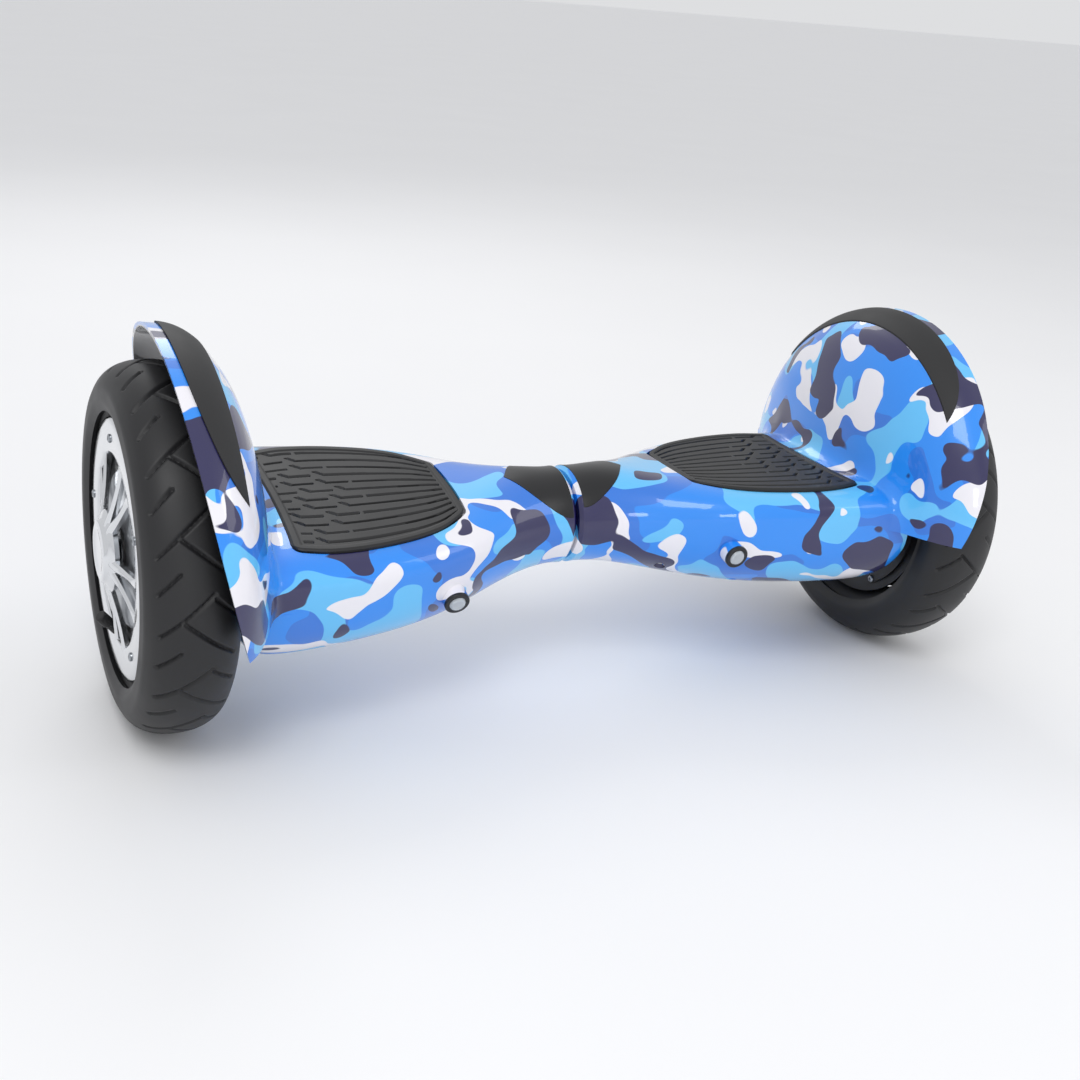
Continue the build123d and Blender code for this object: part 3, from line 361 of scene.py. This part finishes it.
def tyreProfile():
    # The section from bead to bead, closer sampled under the tread: distance from the crown
    # along the skin, place across, radius.
    curve = []
    for i in range(2001):
        a = pi * (tread["arcSpan"] * i / 2000 - tread["arcStart"])
        power = 2 / tread["squareness"]
        x = -copysign(abs(cos(a)) ** power, cos(a)) * tread["halfWidth"]
        r = tread["middle"] + copysign(abs(sin(a)) ** power, sin(a)) * tread["height"]
        if r >= tread["beadRadius"]:
            curve.append((x, r))
    lengths = [0]
    for (x0, r0), (x1, r1) in zip(curve, curve[1:]):
        lengths.append(lengths[-1] + hypot(x1 - x0, r1 - r0))
    total = lengths[-1]
    samples = []
    j = 0
    sideSteps = (tread["acrossSteps"] - tread["treadSteps"]) // 2
    wants = [(total / 2 - tread["treadHalf"]) * i / sideSteps for i in range(sideSteps)]
    wants += [total / 2 + tread["treadHalf"] * (2 * i / tread["treadSteps"] - 1)
              for i in range(tread["treadSteps"] + 1)]
    wants += [total - want for want in reversed(wants[:sideSteps])]
    for want in wants:
        while j < len(lengths) - 2 and lengths[j + 1] < want:
            j += 1
        f = (want - lengths[j]) / (lengths[j + 1] - lengths[j])
        samples.append((want - total / 2,
                        curve[j][0] + f * (curve[j + 1][0] - curve[j][0]),
                        curve[j][1] + f * (curve[j + 1][1] - curve[j][1])))
    return samples


def segmentDistance(p, a, b):
    dx, dy = b[0] - a[0], b[1] - a[1]
    f = ((p[0] - a[0]) * dx + (p[1] - a[1]) * dy) / (dx * dx + dy * dy)
    f = min(1, max(0, f))
    return hypot(p[0] - a[0] - f * dx, p[1] - a[1] - f * dy)


def smooth(low, high, value):
    f = min(1, max(0, (value - low) / (high - low)))
    return f * f * (3 - 2 * f)


def treadGrooves():
    grooves = []
    for turn in (-1, 0, 1):
        for (t0, s0), (t1, s1) in tread["grooves"]:
            near = turn * pitchLength
            far = near + tread["otherSideShift"]
            grooves.append(((t0, s0 + near), (t1, s1 + near)))
            grooves.append(((-t0, s0 + far), (-t1, s1 + far)))
    return grooves


def makeTreadPitch():
    # One repeat of the tread with the sidewalls and inner wall beside it, at the bottom of a
    # wheel whose middle is the origin.
    profile = tyreProfile()
    grooves = treadGrooves()
    half, slope = tread["grooveWidth"] / 2, tread["grooveSlope"]
    rows, inner = tread["aroundSteps"], tread["innerSteps"]
    points = []
    for row in range(rows + 1):
        s = pitchLength * row / rows
        angle = s / tread["radius"]
        for t, x, r in profile:
            sink = 0
            if abs(t) < tread["grooveReach"]:
                near = min(segmentDistance((t, s), a, b) for a, b in grooves)
                sink = tread["grooveDepth"] * (1 - smooth(half - slope, half + slope, near))
            ridge = sum(lift * (1 - smooth(top, foot, abs(abs(t) - spot)))
                        for spot, lift, top, foot in tread["rings"])
            size = hypot(x, r - tread["middle"])
            push = (ridge - sink - tread["skinBack"]) / size
            px, pr = x + x * push, r + (r - tread["middle"]) * push
            points.append((px, pr * sin(angle), -pr * cos(angle)))
        for k in range(inner + 1):  # inner wall, back from one bead to the other
            t, x, r = profile[-1 - round(k * tread["acrossSteps"] / inner)]
            size = hypot(x, r - tread["middle"])
            shrink = 1 - tread["wall"] / size
            px, pr = x * shrink, tread["middle"] + (r - tread["middle"]) * shrink
            points.append((px, pr * sin(angle), -pr * cos(angle)))
    width = len(profile) + inner + 1
    faces = []
    for row in range(rows):
        for col in range(width):
            a = row * width + col
            b = row * width + (col + 1) % width
            faces.append((a, a + width, b + width, b))
    mesh = bpy.data.meshes.new("treadPitch")
    mesh.from_pydata([(x * mm, y * mm, z * mm) for x, y, z in points], [], faces)
    pitch = bpy.data.objects.new("treadPitch", mesh)
    bpy.context.scene.collection.objects.link(pitch)
    return pitch


def ringTree(material):
    # One piece repeated round the X axis, joined where the copies meet.
    tree = bpy.data.node_groups.new("repeatRound", "GeometryNodeTree")
    tree.interface.new_socket("Geometry", in_out="INPUT", socket_type="NodeSocketGeometry")
    tree.interface.new_socket("Count", in_out="INPUT", socket_type="NodeSocketInt")
    tree.interface.new_socket("Weld", in_out="INPUT", socket_type="NodeSocketFloat")
    tree.interface.new_socket("Geometry", in_out="OUTPUT", socket_type="NodeSocketGeometry")
    new = tree.nodes.new
    into, out = new("NodeGroupInput"), new("NodeGroupOutput")
    line = new("GeometryNodeMeshLine")
    line.inputs["Offset"].default_value = (0, 0, 0)
    tree.links.new(into.outputs["Count"], line.inputs["Count"])
    index, turn = new("GeometryNodeInputIndex"), new("ShaderNodeMath")
    turn.operation = "DIVIDE"
    tree.links.new(index.outputs[0], turn.inputs[0])
    tree.links.new(into.outputs["Count"], turn.inputs[1])
    angle = new("ShaderNodeMath")
    angle.operation = "MULTIPLY"
    angle.inputs[1].default_value = 2 * pi
    tree.links.new(turn.outputs[0], angle.inputs[0])
    rotation = new("ShaderNodeCombineXYZ")
    tree.links.new(angle.outputs[0], rotation.inputs["X"])
    copies = new("GeometryNodeInstanceOnPoints")
    tree.links.new(line.outputs[0], copies.inputs["Points"])
    tree.links.new(into.outputs["Geometry"], copies.inputs["Instance"])
    tree.links.new(rotation.outputs[0], copies.inputs["Rotation"])
    real, weld = new("GeometryNodeRealizeInstances"), new("GeometryNodeMergeByDistance")
    tree.links.new(copies.outputs[0], real.inputs[0])
    tree.links.new(real.outputs[0], weld.inputs[0])
    tree.links.new(into.outputs["Weld"], weld.inputs["Distance"])
    paint = new("GeometryNodeSetMaterial")
    paint.inputs["Material"].default_value = material
    tree.links.new(weld.outputs[0], paint.inputs[0])
    tree.links.new(paint.outputs[0], out.inputs[0])
    return tree


def setInput(modifier, name, value):
    for item in modifier.node_group.interface.items_tree:
        if item.name == name and item.in_out == "INPUT":
            modifier[item.identifier] = value


def frozen(sourceObject):
    bpy.context.view_layer.update()
    shape = bpy.data.meshes.new_from_object(sourceObject.evaluated_get(
        bpy.context.evaluated_depsgraph_get()))
    old = sourceObject.data
    bpy.data.objects.remove(sourceObject)
    bpy.data.meshes.remove(old)
    return shape


repeatRound = ringTree(tyreRubber)


def repeated(single, count, weld):
    # Copies of a piece all round the wheel, as points in mm and faces.
    modifier = single.modifiers.new("repeatRound", "NODES")
    modifier.node_group = repeatRound
    setInput(modifier, "Count", count)
    setInput(modifier, "Weld", weld)
    whole = frozen(single)
    return ([(v.co.x / mm, v.co.y / mm, v.co.z / mm) for v in whole.vertices],
            [tuple(p.vertices) for p in whole.polygons])


tyrePoints, tyreFaces = repeated(makeTreadPitch(), tread["pitches"], tread["weld"])
for side, body in (("r", "right_wheel"), ("l", "left_wheel")):
    shifted = [(x + board["trackHalf"], y, z) for x, y, z in tyrePoints]
    tyre = newPiece("grooved_tyre_" + side, shifted, tyreFaces, side)
    settle(tyre, tyreRubber, "tyre_rubber", body, "tyre_" + side)


# spoked wheel covers
wheel = {
    "ringFace": 27.5, "hubFace": 38.6,    # mm outward of the wheel's middle
    "weld": 0.000001,         # metres
    "turnedSteps": 160, "dishSteps": 120,
    "pairs": 5, "firstPair": 36,          # degrees to the middle of the first pair
    "hubSpread": 7.0, "ringSpread": 11.5,  # a spoke's angle from its pair's middle, at each end
    "spokeFrom": 17, "spokeTo": 69, "spokeWidth": 5.0, "spokeThick": 4.0, "spokeSteps": 24,
    "spokeBow": 1.6, "spokeDip": 1.7,     # degrees of sideways curve, how soon it drops
    "underHub": 1.6, "underRing": 0.5,    # its line below the two faces
    # screw head: height, radius, and whether the row is hexagonal
    "headRows": [(0, 3.0, 0), (0.9, 3.0, 0), (1.4, 2.5, 0), (1.6, 1.9, 0), (1.6, 1.45, 1),
                 (0.6, 1.4, 1)],
    "headSteps": 24,
    "screwCircle": 76, "screwCount": 5,
    "backScrewCircle": 77, "backScrewCount": 6, "backFace": -22,
}


def turned(outline, steps):
    # A closed outline of (across, radius) swept round the axle.
    points, faces = [], []
    for step in range(steps):
        a = 2 * pi * step / steps
        points += [(x, r * cos(a), r * sin(a)) for x, r in outline]
    count = len(outline)
    for step in range(steps):
        here, after = step * count, (step + 1) % steps * count
        for k in range(count):
            n = (k + 1) % count
            faces.append((here + k, after + k, after + n, here + n))
    return points, faces


def spoke(way):
    # A curved strip from the hub down to the ring, with a low ridge along its middle.
    points, faces = [], []
    steps, t = wheel["spokeSteps"], wheel["spokeThick"]
    drop = wheel["hubFace"] - wheel["underHub"] - wheel["ringFace"]
    # its cross section: share of the width, and height from the spoke's own line
    section = [(-1, -t), (-1, -0.9), (-0.62, 0.1), (0, 0.75), (0.62, 0.1), (1, -0.9), (1, -t)]
    count = len(section)
    for step in range(steps + 1):
        f = step / steps
        r = wheel["spokeFrom"] + (wheel["spokeTo"] - wheel["spokeFrom"]) * f
        spread = wheel["hubSpread"] + (wheel["ringSpread"] - wheel["hubSpread"]) * f
        bow = wheel["spokeBow"] * sin(pi * f) * (1 - f)
        a = radians(wheel["firstPair"] + way * (spread + bow))
        x = wheel["ringFace"] - wheel["underRing"] + drop * (1 - f) ** wheel["spokeDip"]
        # narrow in the middle, wider into the hub and flared into the ring
        w = wheel["spokeWidth"] * (0.5 + 0.55 * (1 - f) ** 3 + 0.75 * f ** 9)
        for side, lift in section:
            b = a + side * w / r
            points.append((x + lift, r * cos(b), r * sin(b)))
    for step in range(steps):
        for k in range(count):
            n = (k + 1) % count
            p, q = step * count, (step + 1) * count
            faces.append((p + k, p + n, q + n, q + k))
    faces.append(tuple(reversed(range(count))))
    faces.append(tuple(steps * count + k for k in range(count)))
    return points, faces


def screwHead(circle, face, way):
    # A pan head with a hex recess, standing on a cover at a place on its circle.
    points, faces = [], []
    rows, steps = wheel["headRows"], wheel["headSteps"]
    for lift, r, hexed in rows:
        for k in range(steps):
            a = 2 * pi * k / steps
            reach = r * (cos(pi / 6) / cos((a % (pi / 3)) - pi / 6) if hexed else 1)
            points.append((face + way * lift, circle + reach * cos(a), reach * sin(a)))
    for row in range(len(rows) - 1):
        here, above = row * steps, (row + 1) * steps
        for k in range(steps):
            n = (k + 1) % steps
            faces.append((here + k, here + n, above + n, above + k))
    faces.append(tuple((len(rows) - 1) * steps + k for k in range(steps)))
    faces.append(tuple(reversed(range(steps))))
    return points, faces


def joined(parts):
    points, faces = [], []
    for somePoints, someFaces in parts:
        base = len(points)
        points += somePoints
        faces += [tuple(base + i for i in face) for face in someFaces]
    return points, faces


def roundTheWheel(name, part, count):
    points, faces = part
    mesh = bpy.data.meshes.new(name)
    mesh.from_pydata([(x * mm, y * mm, z * mm) for x, y, z in points], [], faces)
    single = bpy.data.objects.new(name, mesh)
    bpy.context.scene.collection.objects.link(single)
    return repeated(single, count, wheel["weld"])


def outwardFaces(piece):
    mesh = bmesh.new()
    mesh.from_mesh(piece.data)
    bmesh.ops.recalc_face_normals(mesh, faces=mesh.faces)
    mesh.to_mesh(piece.data)
    mesh.free()


# Outlines of the turned pieces: mm outward of the wheel's middle, and radius.
outlines = {
    "ring": [(20.0, 66.5), (25.6, 65.6), (27.0, 66.6), (27.6, 69), (27.7, 78), (27.5, 84),
             (26.8, 87.6), (25.4, 89.2), (22.5, 88.0), (20.0, 86.0)],
    "hub": [(29.0, 0.05), (29.0, 27.0), (32.2, 28.0), (34.0, 26.2), (35.2, 22.6), (36.6, 21.2),
            (38.0, 20.4), (38.6, 18.6), (38.6, 15.5), (37.9, 14.2), (37.7, 8.0), (37.7, 0.05)],
    "dish": [(19.3, 0.05), (19.3, 53.0), (20.8, 53.6), (22.4, 51.8), (23.4, 46), (23.9, 34),
             (24.1, 20), (24.1, 0.05)],
}
ring = turned(outlines["ring"], wheel["turnedSteps"])
hub = turned(outlines["hub"], wheel["turnedSteps"])
motorDish = turned(outlines["dish"], wheel["dishSteps"])
spokes = roundTheWheel("spokePair", joined([spoke(-1), spoke(1)]), wheel["pairs"])
frontHead = screwHead(wheel["screwCircle"], wheel["ringFace"], 1)
backHead = screwHead(wheel["backScrewCircle"], wheel["backFace"], -1)
frontScrews = roundTheWheel("trimScrew", frontHead, wheel["screwCount"])
backScrews = roundTheWheel("backScrew", backHead, wheel["backScrewCount"])
wheelPieces = [
    ("spoked_cover_", joined([ring, hub, spokes]), spokeSilver, "spoke_silver", ("spoke_cover_",)),
    ("motor_dish_", motorDish, motorSilver, "rim_black", ()),
    ("wheel_screws_", joined([frontScrews, backScrews]), zincSteel, "screw_steel", ("cover_screws_",)),
]
for side, body in (("r", "right_wheel"), ("l", "left_wheel")):
    for name, (points, faces), material, slotName, replaced in wheelPieces:
        moved = [(x + board["trackHalf"], y, z) for x, y, z in points]
        piece = newPiece(name + side, moved, faces, side, smoothAngle=35)
        outwardFaces(piece)
        piece.data.set_sharp_from_angle(angle=radians(35))
        settle(piece, material, slotName, body, *[node + side for node in replaced])


# foot pads
pad = {
    "sidePoints": [(95, 36), (122, 56.5), (162, 69), (202, 72.5), (230, 67)],
    "corner": 7, "endIn": 3, "startOut": 2,
    "top": 32.1, "bottom": 28.1, "rimWidth": 5.5, "rimRound": 1.6, "rimDrop": 1.12, "dish": 0.7,
    "alongSteps": 210, "acrossSteps": 200,
    "rimSlope": 1.2, "grooveStart": 1.5,  # past the rim, the dish's slope and the grooves
    "rows": 13, "grooveWidth": 2.0, "grooveDepth": 1.7, "grooveSlope": 0.35,
    "firstX": 101, "lastX": 222, "ragged": 1.5,        # where the grooves begin and end
    "breakX": 158, "breakSpread": 44, "breakStep": 6,  # where a long rib turns to short runs
    "run": 26.0, "gap": 3.0, "hook": 7, "hookRise": 0.9, "hookLean": 0.74, "hookReach": 5.5,
}


def padHalfDepth(x):
    # Smooth line through the side points.
    p = pad["sidePoints"]

    def slopeAt(k):
        a, b = max(k - 1, 0), min(k + 1, len(p) - 1)
        return (p[b][1] - p[a][1]) / (p[b][0] - p[a][0])

    i = max(k for k in range(len(p) - 1) if p[k][0] <= x or k == 0)
    x0, y0 = p[i]
    x1, y1 = p[i + 1]
    w = x1 - x0
    f = (x - x0) / w
    return (y0 * (1 + 2 * f) * (1 - f) ** 2 + slopeAt(i) * w * f * (1 - f) ** 2
            + y1 * f * f * (3 - 2 * f) + slopeAt(i + 1) * w * f * f * (f - 1))


def padPoint(u, v):
    # u 0..1 from the waist end to the wheel end, v -1..1 front to back.
    startX = pad["sidePoints"][0][0] - pad["startOut"] * (1 - v * v)
    endX = pad["sidePoints"][-1][0] - pad["endIn"] * (1 - v * v)
    x = startX + (endX - startX) * u
    first, last = pad["sidePoints"][0][0], pad["sidePoints"][-1][0]
    straightX = first + (last - first) * u
    depth = padHalfDepth(straightX)
    toEnd = min(straightX - first, last - straightX)
    if toEnd < pad["corner"]:
        gap = pad["corner"] - toEnd
        depth -= pad["corner"] - sqrt(max(pad["corner"] ** 2 - gap ** 2, 0))
    return x, v * depth, depth


def padGroove(x, v):
    # Long ribs leave the waist end together and fan out; toward the wheel they break up into
    # short staggered runs with a hook at one end. 1 in a groove, 0 on a rib.
    row = (v * 0.5 + 0.5) * pad["rows"]
    line = round(row)
    if line < 1 or line > pad["rows"] - 1:
        return 0
    first, last = pad["sidePoints"][0][0], pad["sidePoints"][-1][0]
    away = (row - line) / pad["rows"] * 2 * padHalfDepth(min(max(x, first), last))
    middle = abs(line - pad["rows"] / 2) / (pad["rows"] / 2)
    breakX = pad["breakX"] + pad["breakSpread"] * middle ** 1.5 + pad["breakStep"] * (line % 2)
    if x < pad["firstX"] or x > pad["lastX"] - pad["ragged"] * (line % 3):
        return 0
    low = pad["grooveWidth"] / 2 - pad["grooveSlope"]
    high = pad["grooveWidth"] / 2 + pad["grooveSlope"]
    straight = 1 - smooth(low, high, abs(away))
    if x < breakX:
        return straight
    along = (x - breakX + (line % 2) * pad["run"] / 2) % pad["run"]
    if along > pad["run"] - pad["hook"]:
        rise = (along - pad["run"] + pad["hook"]) * pad["hookRise"]
        hook = 1 - smooth(low, high, abs(away - rise) * pad["hookLean"])
        return hook if away < pad["hookReach"] else 0
    return 0 if along < pad["gap"] else straight


def makePad(side):
    points, faces = [], []
    cols, rowsAcross = pad["alongSteps"], pad["acrossSteps"]
    for i in range(cols + 1):
        u = i / cols
        for j in range(rowsAcross + 1):
            v = 2 * j / rowsAcross - 1
            x, y, depth = padPoint(u, v)
            first, last = padPoint(0, v)[0], padPoint(1, v)[0]
            edge = min(depth - abs(y), x - first, last - x)
            z = pad["top"] - pad["rimDrop"] * (1 - smooth(0, pad["rimRound"], edge))
            inner = smooth(pad["rimWidth"], pad["rimWidth"] + pad["rimSlope"], edge)
            z -= inner * pad["dish"]
            if edge > pad["rimWidth"] + pad["grooveStart"]:
                z -= pad["grooveDepth"] * padGroove(x, v)
            points.append((x, y, z))
    step = rowsAcross + 1
    for i in range(cols):
        for j in range(rowsAcross):
            a = i * step + j
            faces.append((a, a + step, a + step + 1, a + 1))
    border = [j for j in range(rowsAcross)]
    border += [i * step + rowsAcross for i in range(cols)]
    border += [cols * step + j for j in range(rowsAcross, 0, -1)]
    border += [i * step for i in range(cols, 0, -1)]
    base = len(points)
    for index in border:
        points.append((points[index][0], points[index][1], pad["bottom"]))
    count = len(border)
    for k in range(count):
        n = (k + 1) % count
        faces.append((border[k], border[n], base + n, base + k))
    faces.append(tuple(base + k for k in range(count)))
    return newPiece("ribbed_pad_" + side, points, faces, side, smoothAngle=50)


for side, body in (("r", "right_pad"), ("l", "left_pad")):
    footPad = makePad(side)
    settle(footPad, padRubber, "pad_rubber", body, "foot_pad_" + side)


# stage, light, camera
studio = {
    "floorHalf": 40.0,        # metres
    "worldStrength": 0.8,
    "paper": "#f4f4f5", "paperShade": "#f1f1f2", "sky": "#f5f6f8",
    "cameraPlace": (-0.50117, -0.95440, 0.50612), "cameraTurn": (69.480, -4.675, -25.345),
    "lens": 49.66,
}
reach = studio["floorHalf"]
floorCorners = [(-reach, -reach, 0), (reach, -reach, 0), (reach, reach, 0), (-reach, reach, 0)]
floorMesh = bpy.data.meshes.new("floor")
floorMesh.from_pydata(floorCorners, [], [(0, 1, 2, 3)])
floor = bpy.data.objects.new("floor", floorMesh)
bpy.context.scene.collection.objects.link(floor)
floorPaper, floorShader = newMaterial("pale paper sweep", Roughness=0.9)
paperTone = addNode(floorPaper, "ShaderNodeTexNoise", inputs={
    "Vector": objectCoords(floorPaper), "Scale": 3.0, "Detail": 2.0})
paperMix = addNode(floorPaper, "ShaderNodeMix", {"data_type": "RGBA"}, {
    "Factor": paperTone.outputs["Fac"], 6: linear(studio["paperShade"]),
    7: linear(studio["paper"])})
link(floorPaper, paperMix.outputs[2], floorShader.inputs["Base Color"])
floorMesh.materials.append(floorPaper)

bpy.context.scene.view_settings.view_transform = "Standard"
world = bpy.data.worlds.new("studio")
world.use_nodes = True
world.node_tree.nodes["Background"].inputs["Color"].default_value = linear(studio["sky"])
world.node_tree.nodes["Background"].inputs["Strength"].default_value = studio["worldStrength"]
bpy.context.scene.world = world

lamps = [  # name, place, size, watts, aimed at
    ("keySoftbox", (-0.9, -1.3, 2.1), 1.1, 17, (0, 0, 0.1)),
    ("fillSoftbox", (1.7, -1.2, 1.3), 1.0, 5, (0, 0, 0.15)),
    ("backStrip", (0.2, 1.8, 1.7), 0.9, 8, (0, 0, 0.15)),
    ("frontStrip", (-0.3, -2.0, 0.5), 0.3, 2, (0, 0, 0.15)),
]
for name, spot, size, watts, aim in lamps:
    light = bpy.data.lights.new(name, "AREA")
    light.shape = "SQUARE"
    light.size = size
    light.energy = watts
    lamp = bpy.data.objects.new(name, light)
    lamp.location = spot
    lamp.rotation_euler = (Vector(aim) - Vector(spot)).to_track_quat("-Z", "Y").to_euler()
    bpy.context.scene.collection.objects.link(lamp)

cameraData = bpy.data.cameras.new("camera")
cameraData.lens = studio["lens"]
cameraData.sensor_width = 36
camera = bpy.data.objects.new("camera", cameraData)
camera.location = Vector(studio["cameraPlace"]) + Vector((0, wheelCentre.y, 0))
camera.rotation_euler = [radians(a) for a in studio["cameraTurn"]]
bpy.context.scene.collection.objects.link(camera)
bpy.context.scene.camera = camera
print("stage, lights and camera set")
